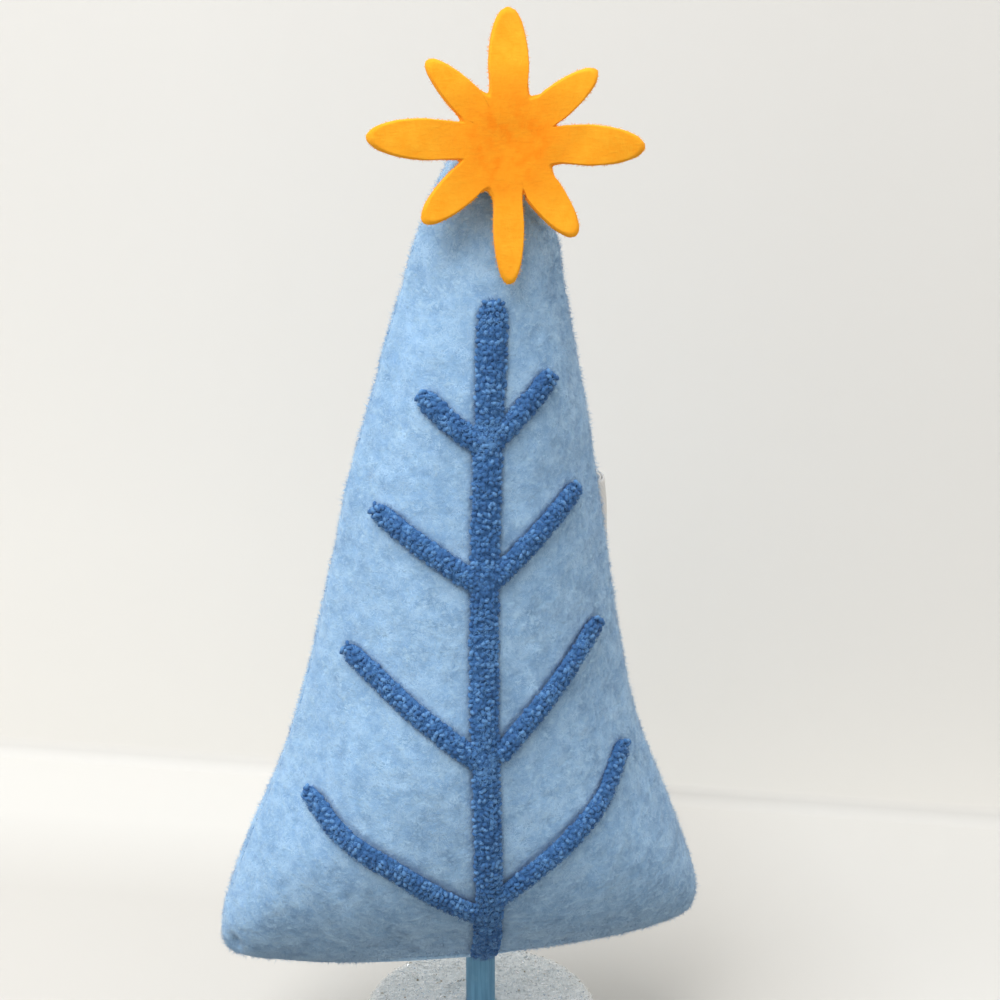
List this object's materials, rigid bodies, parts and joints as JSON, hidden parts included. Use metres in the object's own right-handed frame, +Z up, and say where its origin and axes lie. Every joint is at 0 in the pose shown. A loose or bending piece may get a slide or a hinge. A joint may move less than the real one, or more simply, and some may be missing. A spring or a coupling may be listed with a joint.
{
  "type": "fabric tree figurine",
  "caption": "Stuffed fleece tree figurine with looped-yarn spine and branch ridges and a felt star at its tip, standing on a dowel trunk set in a round glittered base.",
  "frame": {"origin": "centre of the base's underside, on the trunk's axis, at the level the figurine stands on", "axes": "+Z up along the trunk, -Y to the front with the ridges and the star, +X to the right as seen from the front"},
  "size_m": [0.103, 0.0517, 0.225],
  "materials": {
    "snow": "white glittered coat over a wooden disc",
    "paint": "satin blue paint on a wooden dowel",
    "fleece": "short soft fleece pile",
    "stuffing": "loose fibre fill",
    "yarn": "small uncut yarn loops",
    "felt": "pressed felt",
    "glue": "cloudy set glue",
    "ribbon": "plain woven ribbon, bare"
  },
  "bodies": {
    "root": {"base_mound": "snow", "trunk_dowel": "paint", "base_panel": "fleece", "front_panel": "fleece", "back_panel": "fleece", "stuffing": "stuffing", "spine_ridge": "yarn", "branch_ridge_left_1": "yarn", "branch_ridge_left_2": "yarn", "branch_ridge_left_3": "yarn", "branch_ridge_left_4": "yarn", "branch_ridge_right_1": "yarn", "branch_ridge_right_2": "yarn", "branch_ridge_right_3": "yarn", "branch_ridge_right_4": "yarn", "star": "felt", "star_glue_pad": "glue", "care_label": "ribbon"}
  },
  "joints": []
}
